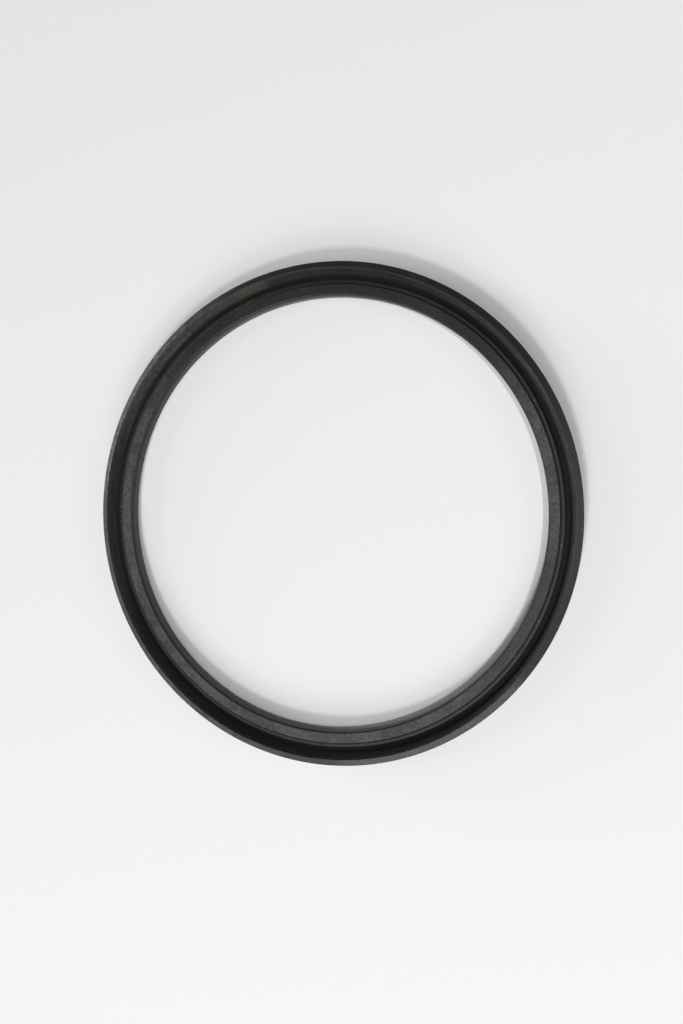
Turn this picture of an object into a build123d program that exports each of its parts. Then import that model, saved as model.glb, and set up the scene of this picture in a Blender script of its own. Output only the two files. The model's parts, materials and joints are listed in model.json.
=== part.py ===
from build123d import *
import os

# A one-piece moulded rubber lip seal, lying on its flat heel with its lips and groove
# upwards. It is one turned section: an inner lip with a raised pad on top, a groove and
# a taller outer lip, all standing on a solid heel. Millimetres, +Z along the seal's
# axis, origin at the middle of the heel face.

# ---- driving dimensions -------------------------------------------------------------

# across the section, from the bore outwards
bore_d = 68.0               # straight land in the bore, the part that holds the rod
lead_in_width = 0.14        # the bore opens this much above its land
inner_shoulder_width = 0.13 # step between the bore and the pad
pad_width = 1.44            # raised pad on the inner lip
pad_side_lean = 0.09        # the pad's outer side leans out this far as it falls
crease_width = 0.18         # the crease at the pad's foot climbs to the outer shoulder
outer_shoulder_width = 0.42 # flat shoulder between the crease and the groove
groove_floor_width = 0.8    # floor of the groove, between its two walls
groove_lean = 0.93          # the groove's outer wall leans out this far as it rises
outer_bevel_width = 1.05    # bevel from the outer lip's crest out to its widest edge
lip_flare = 0.6             # the outer lip's edge stands this far proud of the heel wall

# up the section, from the heel face
heel_height = 1.7           # heel face to groove floor
outer_lip_height = 2.4      # groove floor to the crest of the outer lip
inner_lip_height = 1.4      # groove floor to the highest edge of the pad
outer_bevel_drop = 0.57     # crest of the outer lip down to its widest edge
pad_fall = 0.07             # the pad's top slopes down this far towards the bore
outer_shoulder_drop = 0.3   # highest edge of the pad down to the outer shoulder
crease_depth = 0.12         # outer shoulder down to the bottom of the crease
inner_shoulder_drop = 0.41  # the pad's inner edge down to the inner shoulder
lead_in_drop = 0.42         # inner shoulder down to the top of the bore land

# heel corners
bore_chamfer_width = 0.55
bore_chamfer_height = 1.0
heel_chamfer = 0.35

# edge rounding
lip_edge_radius = 0.08      # crest and widest edge of the outer lip
fine_edge_radius = 0.045    # the pad, its shoulders and its crease
groove_root_radius = 0.38   # both corners of the groove floor
blend_radius = 0.4          # where the heel wall turns into the flared outer lip
heel_edge_radius = 0.1      # every edge of the heel

# ---- radii and heights worked out from them -----------------------------------------

bore_r = bore_d / 2
bore_edge_r = bore_r + lead_in_width
pad_inner_r = bore_edge_r + inner_shoulder_width
pad_outer_r = pad_inner_r + pad_width
crease_r = pad_outer_r + pad_side_lean
shoulder_r = crease_r + crease_width
groove_inner_r = shoulder_r + outer_shoulder_width
groove_outer_r = groove_inner_r + groove_floor_width
crest_r = groove_outer_r + groove_lean
lip_r = crest_r + outer_bevel_width
heel_r = lip_r - lip_flare

crest_z = heel_height + outer_lip_height
lip_z = crest_z - outer_bevel_drop
pad_outer_z = heel_height + inner_lip_height
pad_inner_z = pad_outer_z - pad_fall
shoulder_z = pad_outer_z - outer_shoulder_drop
crease_z = shoulder_z - crease_depth
inner_shoulder_z = pad_inner_z - inner_shoulder_drop
land_top_z = inner_shoulder_z - lead_in_drop

# ---- the section ---------------------------------------------------------------------

# each corner is a radius, a height and its rounding, from the heel up the bore, over the
# two lips and down the outer wall
corners = [
    (bore_r + bore_chamfer_width, 0, heel_edge_radius),
    (bore_r, bore_chamfer_height, heel_edge_radius),
    (bore_r, land_top_z, heel_edge_radius),
    (bore_edge_r, inner_shoulder_z, fine_edge_radius),
    (pad_inner_r, inner_shoulder_z, fine_edge_radius),
    (pad_inner_r, pad_inner_z, fine_edge_radius),
    (pad_outer_r, pad_outer_z, fine_edge_radius),
    (crease_r, crease_z, fine_edge_radius),
    (shoulder_r, shoulder_z, fine_edge_radius),
    (groove_inner_r, shoulder_z, fine_edge_radius),
    (groove_inner_r, heel_height, groove_root_radius),
    (groove_outer_r, heel_height, groove_root_radius),
    (crest_r, crest_z, lip_edge_radius),
    (lip_r, lip_z, lip_edge_radius),
    (heel_r, heel_height, blend_radius),
    (heel_r, heel_chamfer, heel_edge_radius),
    (heel_r - heel_chamfer, 0, heel_edge_radius),
]

with BuildPart() as lip_seal:
    with BuildSketch(Plane.XZ) as section:
        with BuildLine():
            Polyline(*[(radius, height) for radius, height, _ in corners], close=True)
        make_face()
        for radius, height, rounding in corners:
            corner = section.vertices().sort_by_distance((radius, height))[0]
            fillet(corner, radius=rounding)
    revolve(axis=Axis.Z)

lip_seal.part.label = "lip_seal"

os.makedirs("parts", exist_ok=True)
export_step(lip_seal.part, "parts/lip_seal.step")

print("lip_seal: volume", round(lip_seal.part.volume, 1), "mm3")
print("outer lip", round(2 * lip_r, 2), "mm across, bore", bore_d, "mm")
print("heel wall", round(2 * heel_r, 2), "mm across, height", round(crest_z, 2), "mm")
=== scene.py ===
# %% [markdown]
# # A moulded rubber lip seal
#
# The real thing is one ring of black rubber, about as wide as a teacup and thinner
# than a pencil. It was pressed in a mould, so every part of it is the same section swept
# round a circle: an inner lip with a flat pad on top, a deep groove, and a taller outer
# lip with a bevelled rim. In this notebook the ring is turned from that section as one
# mesh, and all of its finish comes from one procedural rubber material.
#
# The packed CAD model is loaded first. It fixes the size and the place of the ring, and
# it stays hidden underneath, so nothing here may grow past its box.

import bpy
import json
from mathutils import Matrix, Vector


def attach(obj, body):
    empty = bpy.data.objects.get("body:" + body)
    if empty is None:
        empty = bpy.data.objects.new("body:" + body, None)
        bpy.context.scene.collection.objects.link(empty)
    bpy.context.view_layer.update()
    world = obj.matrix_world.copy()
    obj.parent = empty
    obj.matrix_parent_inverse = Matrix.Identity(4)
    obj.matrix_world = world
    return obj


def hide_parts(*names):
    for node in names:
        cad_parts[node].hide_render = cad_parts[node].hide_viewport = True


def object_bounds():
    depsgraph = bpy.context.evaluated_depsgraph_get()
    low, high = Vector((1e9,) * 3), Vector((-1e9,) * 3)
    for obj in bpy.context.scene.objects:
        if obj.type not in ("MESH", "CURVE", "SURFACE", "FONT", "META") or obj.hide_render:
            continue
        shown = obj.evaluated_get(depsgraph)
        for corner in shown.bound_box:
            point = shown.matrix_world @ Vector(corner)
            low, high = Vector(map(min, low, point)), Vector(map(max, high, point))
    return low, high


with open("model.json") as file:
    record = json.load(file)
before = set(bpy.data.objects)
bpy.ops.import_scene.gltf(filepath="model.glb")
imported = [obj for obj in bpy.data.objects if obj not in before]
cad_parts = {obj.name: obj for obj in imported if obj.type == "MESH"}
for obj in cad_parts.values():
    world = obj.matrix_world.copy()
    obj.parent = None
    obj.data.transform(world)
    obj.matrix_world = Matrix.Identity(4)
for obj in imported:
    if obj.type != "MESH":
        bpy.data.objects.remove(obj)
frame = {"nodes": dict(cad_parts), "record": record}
cad_low, cad_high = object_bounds()
print("frame: nodes", list(frame["nodes"]), "size", [round(v, 5) for v in cad_high - cad_low])

# %% [markdown]
# Blender's own modules do the rest. bpy is the scene and its data, bmesh builds meshes,
# and mathutils has vectors and matrices.

# %% Tools for the work
import json
import math

import bmesh
import bpy
from mathutils import Matrix, Vector

MM = 0.001
print("lengths are in metres, so a millimetre is", MM)

# %% [markdown]
# ## The section
#
# A turned ring needs only the outline of its section. The outline is a walk round
# seventeen corners, each with a radius from the axis, a height above the bench and a
# rounding. The bore's radius comes from the part's own record, because it is the size
# that everything else is built out from. The heel's face is the bottom of the CAD box.
#
# It could also be traced from the CAD mesh, but that mesh is cut into facets, and its
# smallest roundings are only a facet or two. Walking the corners gives arcs as fine as
# the light needs.

# %% Widths and heights of the section
bore_mount = next(m for m in frame["record"]["mounts"] if m["name"] == "rod_bore")
bore_r = bore_mount["dims"]["r_mm"] * MM
heel_z = cad_low.z

bore_edge_r = bore_r + 0.14 * MM
pad_inner_r = bore_edge_r + 0.13 * MM
pad_outer_r = pad_inner_r + 1.44 * MM
crease_r = pad_outer_r + 0.09 * MM
shoulder_r = crease_r + 0.18 * MM
groove_inner_r = shoulder_r + 0.42 * MM
groove_outer_r = groove_inner_r + 0.8 * MM
crest_r = groove_outer_r + 0.93 * MM
lip_r = crest_r + 1.05 * MM
heel_r = lip_r - 0.6 * MM

groove_z = heel_z + 1.7 * MM
pad_outer_z = groove_z + 1.4 * MM
pad_inner_z = pad_outer_z - 0.07 * MM
shoulder_z = pad_outer_z - 0.3 * MM
crease_z = shoulder_z - 0.12 * MM
inner_shoulder_z = pad_inner_z - 0.41 * MM
land_top_z = inner_shoulder_z - 0.42 * MM
crest_z = groove_z + 2.4 * MM
lip_z = crest_z - 0.57 * MM

heel_edge = 0.1 * MM
fine_edge = 0.045 * MM
lip_edge = 0.08 * MM
root = 0.38 * MM
blend = 0.4 * MM
print("section: bore", bore_r, "outer lip", round(lip_r, 5), "height", round(crest_z - heel_z, 5))

# %% [markdown]
# Each row below is one corner. The list starts where the heel meets the bore and goes
# up the bore, over the inner lip, down into the groove, up and over the outer lip, and
# back down the outside to the heel. The smallest roundings are on the lips and the pad.
# The largest are at the roots, where a sharp corner would tear.

# %% The corners in order, up the bore, over the lips and down the outer wall
corners = [
    (bore_r + 0.55 * MM, heel_z, heel_edge),
    (bore_r, heel_z + 1.0 * MM, heel_edge),
    (bore_r, land_top_z, heel_edge),
    (bore_edge_r, inner_shoulder_z, fine_edge),
    (pad_inner_r, inner_shoulder_z, fine_edge),
    (pad_inner_r, pad_inner_z, fine_edge),
    (pad_outer_r, pad_outer_z, fine_edge),
    (crease_r, crease_z, fine_edge),
    (shoulder_r, shoulder_z, fine_edge),
    (groove_inner_r, shoulder_z, fine_edge),
    (groove_inner_r, groove_z, root),
    (groove_outer_r, groove_z, root),
    (crest_r, crest_z, lip_edge),
    (lip_r, lip_z, lip_edge),
    (heel_r, groove_z, blend),
    (heel_r, heel_z + 0.35 * MM, heel_edge),
    (heel_r - 0.35 * MM, heel_z, heel_edge),
]
print("corners:", len(corners))

# %% [markdown]
# ## Rounding the corners
#
# A corner of a moulding is never knife sharp, and its tiny radius is what catches a line
# of light. Each corner is swapped for an arc that touches both of its sides. The arc's
# centre lies on the line that halves the corner, so a little trigonometry finds it.

# %% An arc for one corner
# the most that one straight piece of an arc may turn
ARC_STEP = math.radians(22)


def arc_points(before, corner, after, radius):
    """The points of the arc that rounds a corner, from its first side to its second."""
    first = (before - corner).normalized()
    second = (after - corner).normalized()
    half = first.angle(second) / 2
    centre = corner + (first + second).normalized() * (radius / math.sin(half))
    start = corner + first * (radius / math.tan(half)) - centre
    turn = math.pi - 2 * half
    side = 1 if first.cross(second) < 0 else -1
    steps = max(2, math.ceil(turn / ARC_STEP))
    return [centre + Matrix.Rotation(side * turn * i / steps, 2) @ start for i in range(steps + 1)]


print("arcs turn at most", round(math.degrees(ARC_STEP)), "degrees at a step")

# %% [markdown]
# A straight run between two arcs gets points too: one close to each end, which keeps
# the smooth shading of the arc from bleeding across the flat, and a few between them.

# %% The whole outline, with its straight runs divided
# how near to an arc the first point of a run is, and how far apart the others are
HOLD = 0.02 * MM
RUN_STEP = 0.22 * MM


def run_points(start, end):
    """Points inside a straight run: one near each end and evenly spaced ones between."""
    length = (end - start).length
    if length < 3 * HOLD:
        return []
    inner = max(1, round((length - 2 * HOLD) / RUN_STEP))
    along = [HOLD + (length - 2 * HOLD) * i / inner for i in range(inner + 1)]
    return [start.lerp(end, a / length) for a in along]


places = [Vector((radius, height)) for radius, height, _ in corners]
arcs = [
    arc_points(places[i - 1], places[i], places[(i + 1) % len(places)], corners[i][2])
    for i in range(len(places))
]
outline = []
for i, arc in enumerate(arcs):
    outline += arc
    outline += run_points(arc[-1], arcs[(i + 1) % len(arcs)][0])
print("outline:", len(outline), "points")

# %% [markdown]
# ## Turning the ring
#
# The outline is repeated at even steps round the axis and each step is joined to the
# next with quads, which is what Blender's Spin tool does by hand. Writing it out keeps
# the loop closed with no doubled seam. 480 steps leave chords that stray from the true
# circle by less than a thousandth of a millimetre.

# %% Turn the outline into a closed mesh
STEPS_ROUND = 480


def turned_ring(name, outline, steps):
    """A closed ring: the outline (radius, height) swept round the Z axis."""
    mesh = bmesh.new()
    rows = []
    for step in range(steps):
        angle = 2 * math.pi * step / steps
        cos, sin = math.cos(angle), math.sin(angle)
        rows.append([mesh.verts.new((p.x * cos, p.x * sin, p.y)) for p in outline])
    for step, row in enumerate(rows):
        following = rows[(step + 1) % steps]
        for i in range(len(row)):
            j = (i + 1) % len(row)
            mesh.faces.new((row[i], following[i], following[j], row[j]))
    bmesh.ops.recalc_face_normals(mesh, faces=mesh.faces)
    data = bpy.data.meshes.new(name)
    mesh.to_mesh(data)
    mesh.free()
    data.polygons.foreach_set("use_smooth", [True] * len(data.polygons))
    ring = bpy.data.objects.new(name, data)
    bpy.context.scene.collection.objects.link(ring)
    return ring


seal = turned_ring("lip_seal_rubber", outline, STEPS_ROUND)
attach(seal, "root")
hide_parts("lip_seal")
print("seal:", len(seal.data.polygons), "faces")

# %% [markdown]
# ## Writing materials as sums
#
# A node tree is quicker to read as arithmetic. This small class wraps a node's output,
# and its operators add the Math node that does the sum. The reflected forms let a plain
# number stand on the left, as in 1 - dust.

# %% A number that comes out of a node
class Field:
    """A value that varies over the surface, held as a node's output socket."""

    def __init__(self, recipe, socket):
        self.recipe = recipe
        self.socket = socket

    def maths(self, operation, first, second):
        """A Math node on two values, either of which may be a plain number."""
        return self.recipe.node("ShaderNodeMath", {"operation": operation}, {0: first, 1: second})

    def __add__(self, other):
        return self.maths("ADD", self, other)

    def __sub__(self, other):
        return self.maths("SUBTRACT", self, other)

    def __rsub__(self, other):
        return self.maths("SUBTRACT", other, self)

    def __mul__(self, other):
        return self.maths("MULTIPLY", self, other)

    def __truediv__(self, other):
        return self.maths("DIVIDE", self, other)

    __radd__ = __add__
    __rmul__ = __mul__


print("fields can be added, subtracted, multiplied and divided")

# %% [markdown]
# Every other node comes from one method. It sets the node's own settings first, because
# they decide which sockets the node has, and then fills or links its inputs.

# %% A material's recipe, with one method that makes any node
class Recipe:
    """The nodes of a material or a world."""

    def __init__(self, owner):
        self.owner = owner
        owner.use_nodes = True
        self.tree = owner.node_tree
        self.tree.nodes.clear()

    def node(self, kind, settings=None, inputs=None, output=0):
        """Adds a node: its settings first, then its inputs as numbers or links."""
        made = self.tree.nodes.new(kind)
        for name, value in (settings or {}).items():
            setattr(made, name, value)
        for name, value in (inputs or {}).items():
            if isinstance(value, Field):
                self.tree.links.new(value.socket, made.inputs[name])
            else:
                made.inputs[name].default_value = value
        return Field(self, made.outputs[output]) if made.outputs else made

    def parts(self, vector):
        """The X, Y and Z of a vector."""
        split = self.node("ShaderNodeSeparateXYZ", inputs={0: vector}).socket.node
        return [Field(self, socket) for socket in split.outputs]

    def vector(self, x, y, z):
        """A vector from three numbers or fields."""
        return self.node("ShaderNodeCombineXYZ", inputs={"X": x, "Y": y, "Z": z})

    def mix(self, factor, first, second):
        """A colour that goes from the first to the second as the factor goes from 0 to 1."""
        inputs = {"Factor": factor, 6: first, 7: second}
        return self.node("ShaderNodeMix", {"data_type": "RGBA"}, inputs, 2)

    def ease(self, value, low, high):
        """0 below low, 1 above high and smooth between them."""
        settings = {"interpolation_type": "SMOOTHSTEP"}
        inputs = {"Value": value, "From Min": low, "From Max": high}
        return self.node("ShaderNodeMapRange", settings, inputs)

    def noise(self, vector, lump, detail, roughness):
        """Blender's noise with lumps of about a given size."""
        inputs = {"Vector": vector, "Scale": 1 / lump, "Detail": detail, "Roughness": roughness}
        return self.node("ShaderNodeTexNoise", {"noise_dimensions": "3D"}, inputs)


print("recipes can make", [name for name in vars(Recipe) if not name.startswith("_")])

# %% [markdown]
# ## Black rubber
#
# Moulded rubber is nearly black and has a soft sheen. What makes it look real is what
# lies on it: a thin grey bloom of dust on the faces that look upwards, wiped away where
# fingers have held it, hair-fine rings left by the mould, short marks across the lips,
# and a few pale specks. Light and shade are painted into the colour too: the grey is
# heavier on the sides of the bevel and of the groove's outer wall that face the lamps, as
# painted light, thinner on one side of the pad and darker at the groove's foot, as painted
# shade, and small painted glints sit on one side of the bevel.
#
# All of it is placed by where a point is: its radius, its height, its direction from
# the axis, and which way the surface faces there. Nothing depends on the camera.

# %% Where a point is on the ring
rubber = Recipe(bpy.data.materials.new("moulded_rubber"))
here = rubber.node("ShaderNodeTexCoord", output="Object")
east, north, height = rubber.parts(here)
flat_place = rubber.vector(east, north, 0)
radius = rubber.node("ShaderNodeVectorMath", {"operation": "LENGTH"}, {0: flat_place}, "Value")
direction = rubber.node("ShaderNodeVectorMath", {"operation": "NORMALIZE"}, {0: flat_place})
walk_x, walk_y, _ = rubber.parts(direction)
facing = rubber.node("ShaderNodeNewGeometry", output="Normal")
facing_up = rubber.parts(facing)[2]
print("place:", len(rubber.tree.nodes), "nodes")

# %% [markdown]
# A mask is a number that is 1 on one part of the ring and 0 elsewhere. The section was
# built from named radii and heights, so the same names say where each part begins and
# ends, and the masks follow when a size changes. Their edges are a little soft. The mask
# on_bevel is everything past the crest's radius, so it takes in the outer wall too, and
# only what is also multiplied by upward stays on the bevel itself.

# %% The parts of the section as masks
SOFT = 0.05 * MM

past_shoulder = rubber.ease(radius, groove_inner_r - SOFT, groove_inner_r + SOFT)
on_bevel = rubber.ease(radius, crest_r - SOFT, crest_r + SOFT)
in_groove = past_shoulder * (1 - on_bevel)
up_the_wall = rubber.ease(height, groove_z + 0.15 * MM, groove_z + 0.9 * MM)
past_floor = rubber.ease(radius, groove_outer_r - 2 * SOFT, groove_outer_r + SOFT)
on_outer_wall = past_floor * (1 - on_bevel) * up_the_wall
# the groove's foot, where painted shade darkens the colour and the rubber is made rougher
groove_foot = in_groove * (1 - on_outer_wall)
on_pad = rubber.ease(height, shoulder_z + SOFT, shoulder_z + 3 * SOFT) * (1 - past_shoulder)
upward = rubber.ease(facing_up, 0.45, 0.95)
print("masks:", len(rubber.tree.nodes), "nodes so far")

# %% [markdown]
# The marks of the mould run right round the seal, so their noise must be stretched along
# the circle. A point's direction from the axis, times a small number, walks slowly
# through the noise, while its radius and height walk through it fast. There is no seam,
# because the direction comes back to where it began. The marks that run across a lip
# are the same trick the other way round.

# %% Noise stretched round the circle, and noise stretched across it
RING_LINE = 0.13 * MM
WIPE_WIDTH = 0.3 * MM
WIPE_LENGTH = 1.2 * MM
# the radius, in lumps of noise, of the circle that the mould's marks follow
ROUND_WALK = 5.0

up_and_out = (radius + height * 0.7) / RING_LINE
around = rubber.vector(walk_x * ROUND_WALK, walk_y * ROUND_WALK, up_and_out)
ring_lines = rubber.noise(around, 1, detail=3, roughness=0.6)
wipe_walk = bore_r / WIPE_WIDTH
across = rubber.vector(walk_x * wipe_walk, walk_y * wipe_walk, radius / WIPE_LENGTH)
wipe_marks = rubber.noise(across, 1, detail=3, roughness=0.6)

# %% [markdown]
# Three plain noises do the rest. Each has its own size, from the grain of the dust,
# through the patches that a finger leaves, to broad clouds of slightly warmer black.

# %% Grain, patches and clouds
GRAIN = 0.42 * MM
PATCH = 2.2 * MM
CLOUD = 9 * MM

grains = rubber.ease(rubber.noise(here, GRAIN, detail=3, roughness=0.75), 0.36, 0.64)
mottle = rubber.noise(here, PATCH, detail=4, roughness=0.6)
clouds = rubber.noise(here, CLOUD, detail=2, roughness=0.5)
print("noises:", sum(node.type == "TEX_NOISE" for node in rubber.tree.nodes))

# %% [markdown]
# The pad is painted darker on one side, as painted shade: its dust is thinned there. A side
# is picked out by how nearly a point's direction agrees with a compass direction: 1 is
# straight along it, 0 is a quarter turn away.

# %% Sides and spots picked out by their compass direction
def toward(compass, edge, full):
    """1 on the side that faces a compass direction; edge and full are turns away in degrees."""
    turn = math.radians(compass)
    aim = (math.cos(turn), math.sin(turn), 0)
    inputs = {0: direction, 1: aim}
    agree = rubber.node("ShaderNodeVectorMath", {"operation": "DOT_PRODUCT"}, inputs, "Value")
    return rubber.ease(agree, math.cos(math.radians(edge)), math.cos(math.radians(full)))


# painted shade: on this side the pad's dust is thinned, so the pad looks darker
pad_shade_side = toward(90, 74, 36)
thumbed = toward(-27, 24, 12) * rubber.ease(mottle, 0.4, 0.52)
# painted light: the bevel gets much more pale grey on the sides that face the lamps
lit_bevel_sides = toward(-62, 26, 21) + toward(-140, 52, 24) + toward(142, 32, 12)
# painted light: the groove's outer wall gets more pale grey on the sides that face the lamps
lit_wall_sides = toward(0, 75, 20) + toward(135, 32, 12) * 0.8
olive_bevel = toward(-75, 60, 25) * on_bevel
# painted highlight: glints on one side of the bevel
glinting_bevel_side = toward(152, 28, 18) * on_bevel
# a small lighter olive patch on the outer wall
olive_wall_patch = toward(109, 5, 1) * on_outer_wall
print("sides:", len(rubber.tree.nodes), "nodes so far")

# %% [markdown]
# Dust lies in three places and looks different in each. On the pad it is patchy and
# wiped across, and it is thinned on one side as painted shade. On the outer bevel it
# keeps the mould's rings, and the stretches that face the lamps get much more of the
# pale grey as painted light. On the groove's outer wall it clings in fine lines, and the
# sides that face the lamps get more of it as painted light too. Each place has its own
# amount, and they meet only at their soft edges, so they can simply be added.

# %% How thick the dust and the painted light lie
patches = 0.45 + 0.55 * rubber.ease(mottle, 0.36, 0.62)
# painted shade on one side of the pad, and patches really wiped clean by a thumb
wipes_and_pad_shade = (1 - pad_shade_side * 0.95) * (1 - thumbed * 0.7)
pad_dust_and_shade = on_pad * upward * patches * wipes_and_pad_shade * (0.5 + wipe_marks)
# real dust with the mould's rings, much heavier as painted light on the lamp-facing sides
bevel_dust_and_light = on_bevel * upward * (0.07 + 0.93 * lit_bevel_sides) * patches * (0.6 + 0.8 * ring_lines)
wall_lines = 0.45 + 1.1 * rubber.ease(ring_lines, 0.34, 0.66)
# real dust in fine lines, heavier as painted light on the lamp-facing sides
wall_dust_and_light = on_outer_wall * (0.35 + 0.65 * lit_wall_sides) * wall_lines
# all the pale grey: real dust, painted light on the bevel and wall, painted shade on one side of
# the pad
dust_and_painted_light = pad_dust_and_shade * 0.52 + bevel_dust_and_light * 0.5 + wall_dust_and_light * 0.4
dust_and_painted_light = dust_and_painted_light * (0.5 + grains)
print("dust:", len(rubber.tree.nodes), "nodes so far")

# %% [markdown]
# A speck is a dot round the middle of a Voronoi cell, which scatters them evenly but not
# in rows. Painted glints, small bright flecks on one side of the bevel, are the peaks of one
# more noise. Their mask goes by radius alone, so they lie on the outer wall under the lip as
# well as on the bevel. The faint warm stains are the peaks of the clouds.

# %% Specks, painted glints and warm stains
SPECK_APART = 1.1 * MM
FLECK = 0.6 * MM

speck_inputs = {"Vector": here, "Scale": 1 / SPECK_APART}
cells = rubber.node("ShaderNodeTexVoronoi", {"feature": "F1"}, speck_inputs, "Distance")
dots = 1 - rubber.ease(cells, 0.06, 0.13)
# fewer specks on the side with painted shade
specks = dots * upward * (1 - in_groove) * (1 - pad_shade_side * 0.7)
flecks = rubber.noise(here, FLECK, detail=2, roughness=0.6)
# painted glints, small bright flecks on one side of the bevel and the wall below it
painted_glints = rubber.ease(flecks, 0.5, 0.64) * glinting_bevel_side
stains = rubber.ease(clouds, 0.5, 0.64)
print("specks:", len(rubber.tree.nodes), "nodes so far")

# %% [markdown]
# The colour is laid on as a painter would: black rubber, then warmth, then painted shade at
# the groove's foot, then dust and painted light, an olive patch, specks and painted glints,
# each through its own mask. Even the dust is dark, because it is thin and the black shows through.

# %% Colour
BLACK = (0.012, 0.0118, 0.0116, 1)
GROOVE_SHADE_BLACK = (0.005, 0.005, 0.005, 1)
WARM = (0.02, 0.0185, 0.0155, 1)
# the grey of dust and of painted light
DUST_AND_LIGHT_GREY = (0.105, 0.105, 0.102, 1)
OLIVE_DUST_AND_LIGHT = (0.112, 0.111, 0.097, 1)
OLIVE_PATCH_COLOUR = (0.075, 0.072, 0.05, 1)
SPECK_AND_GLINT_GREY = (0.2, 0.2, 0.19, 1)

stained = rubber.mix(stains * 0.7, BLACK, WARM)
# painted shade: the groove's foot is mixed towards near-black
plain = rubber.mix(groove_foot * 0.9, stained, GROOVE_SHADE_BLACK)
dust_and_light_colour = rubber.mix(olive_bevel, DUST_AND_LIGHT_GREY, OLIVE_DUST_AND_LIGHT)
# dust and painted light laid over the rubber
dusty_and_lit = rubber.mix(dust_and_painted_light, plain, dust_and_light_colour)
with_olive_patch = rubber.mix(olive_wall_patch * 0.5, dusty_and_lit, OLIVE_PATCH_COLOUR)
# real pale specks and painted glints
colour = rubber.mix(specks * 0.6 + painted_glints * 0.5, with_olive_patch, SPECK_AND_GLINT_GREY)
print("colour: mixed from", sum(node.type == "MIX" for node in rubber.tree.nodes), "layers")

# %% [markdown]
# Clean rubber has a soft sheen, the grey of dust and painted light is duller, and the side
# with painted shade on the pad is a little shinier. The relief is far too fine to model, so
# it is a Bump, only hundredths of a millimetre deep. Everything large enough to see as a
# shape is in the mesh.

# %% Sheen, relief and the finished rubber
RELIEF_DEPTH = 0.03 * MM

roughness = 0.43 + dust_and_painted_light * 0.4 + ring_lines * 0.08 + groove_foot * 0.5 - pad_shade_side * 0.08
relief = ring_lines * (0.3 + 0.7 * in_groove) + grains * 0.45 + wipe_marks * 0.25
relief_inputs = {"Strength": 0.6, "Distance": RELIEF_DEPTH, "Height": relief}
bump = rubber.node("ShaderNodeBump", inputs=relief_inputs)
shader = rubber.node(
    "ShaderNodeBsdfPrincipled",
    inputs={"Base Color": colour, "Roughness": roughness, "IOR": 1.5, "Normal": bump},
)
rubber.node("ShaderNodeOutputMaterial", inputs={"Surface": shader})
seal.data.materials.append(rubber.owner)
print("rubber:", len(rubber.tree.nodes), "nodes")

# %% [markdown]
# ## The bench
#
# The ring lies on a plain pale surface, wide enough to fill the picture from this high
# camera, though from low down its far edge shows. It is one flat square with a matt
# material. It stops short of the low lamps, which would glare on it there.

# %% A plain pale floor
FLOOR_REACH = 0.4
PALE = (0.84, 0.84, 0.835, 1)


def pale_floor(level):
    """A flat square of board at a height."""
    mesh = bmesh.new()
    bmesh.ops.create_grid(mesh, x_segments=1, y_segments=1, size=FLOOR_REACH)
    data = bpy.data.meshes.new("floor")
    mesh.to_mesh(data)
    mesh.free()
    floor = bpy.data.objects.new("floor", data)
    floor.location.z = level
    bpy.context.scene.collection.objects.link(floor)
    return floor


floor = pale_floor(heel_z)
board = Recipe(bpy.data.materials.new("pale_board"))
board_shader = board.node(
    "ShaderNodeBsdfPrincipled",
    inputs={"Base Color": PALE, "Roughness": 0.9, "Specular IOR Level": 0.1},
)
board.node("ShaderNodeOutputMaterial", inputs={"Surface": board_shader})
floor.data.materials.append(board.owner)
print("floor:", 2 * FLOOR_REACH, "m across")

# %% [markdown]
# ## Light
#
# Black rubber shows its shape mostly by what it reflects, so most lamps are soft
# panels, each of which lays a sheen on some of the faces. About half of their power
# comes from one side, as from a window, and one small high lamp draws a crisper shadow.
# A lamp is placed by its compass direction from the seal and its height above the bench
# as an angle.

# %% Soft panels round the seal
LAMP_REACH = 1.0

seal_middle = Vector((0, 0, (cad_low.z + cad_high.z) / 2))


def panel(name, compass, lift, size, power):
    """A square area lamp. Compass 0 is +X and 90 is +Y; lift is the angle above the bench."""
    lamp = bpy.data.lights.new(name, "AREA")
    lamp.shape = "SQUARE"
    lamp.size = size
    lamp.energy = power
    thing = bpy.data.objects.new(name, lamp)
    compass, lift = math.radians(compass), math.radians(lift)
    along = math.cos(lift)
    back = Vector((math.cos(compass) * along, math.sin(compass) * along, math.sin(lift)))
    thing.location = seal_middle + back * LAMP_REACH
    thing.rotation_euler = back.to_track_quat("Z", "Y").to_euler()
    bpy.context.scene.collection.objects.link(thing)


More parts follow.
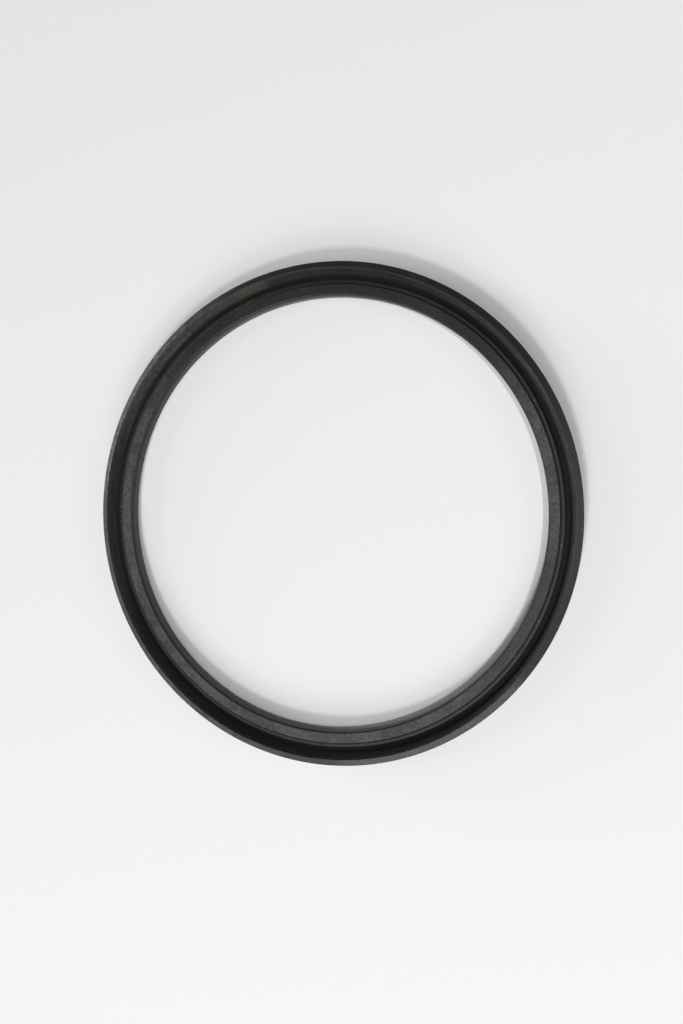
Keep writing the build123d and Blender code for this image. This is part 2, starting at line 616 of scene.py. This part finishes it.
panel("window_panel", -92, 52, 0.17, 3.3)
panel("low_window_panel", -88, 30, 0.43, 3.5)
panel("high_panel", -12, 64, 0.05, 3.1)
panel("low_left_panel", 165, 9, 0.21, 2.4)
panel("left_panel", 180, 30, 0.36, 1.2)
panel("right_panel", 0, 30, 0.36, 1.0)
panel("overhead_panel", -90, 72, 0.36, 0.8)

# %% [markdown]
# The room itself gives only a little light, so that the dark faces of the rubber stay
# dark. Seen straight past the edge of the bench it should still look pale, so the world
# is brighter for the camera's own rays than for the light that falls on the ring.

# %% A dim room that looks pale
ROOM_LIGHT = 0.1
ROOM_LOOK = 0.8

world = bpy.data.worlds.new("studio")
bpy.context.scene.world = world
room = Recipe(world)
seen = room.node("ShaderNodeLightPath", output="Is Camera Ray")
strength = seen * (ROOM_LOOK - ROOM_LIGHT) + ROOM_LIGHT
glow = room.node("ShaderNodeBackground", inputs={"Color": (1, 1, 1, 1), "Strength": strength})
room.node("ShaderNodeOutputWorld", inputs={"Surface": glow})
print("room: lights at", ROOM_LIGHT, "and looks like", ROOM_LOOK)

# %% [markdown]
# ## Camera
#
# The camera hangs above the bench, off to one side of the ring, so one side of the bore
# shows its wall and the other hides it. It is placed by where it stands, the spot on
# the bench that it looks at, and which way is up in the picture. Three directions at
# right angles, forward, right and up, make its turn as the columns of a matrix.

# %% The camera
CAMERA_PLACE = Vector((48.83, 4.47, 151.07)) * MM
LOOKS_AT = Vector((1.49, 0.37, 0)) * MM
LENS = 35.16
SENSOR = 36
NEAREST = 0.01

camera_data = bpy.data.cameras.new("camera")
camera_data.lens = LENS
camera_data.sensor_width = SENSOR
camera_data.clip_start = NEAREST
camera = bpy.data.objects.new("camera", camera_data)
forward = (LOOKS_AT - CAMERA_PLACE).normalized()
right = forward.cross(Vector((0, 1, 0))).normalized()
up = right.cross(forward)
turned = Matrix((right, up, -forward)).transposed().to_4x4()
camera.matrix_world = Matrix.Translation(CAMERA_PLACE) @ turned
bpy.context.scene.collection.objects.link(camera)
bpy.context.scene.camera = camera
bpy.context.scene.view_settings.view_transform = "Standard"
print("camera:", round((CAMERA_PLACE - LOOKS_AT).length, 4), "m from the spot it looks at")

# %% [markdown]
# ## Checking the size
# The ring must fill the CAD box and no more.
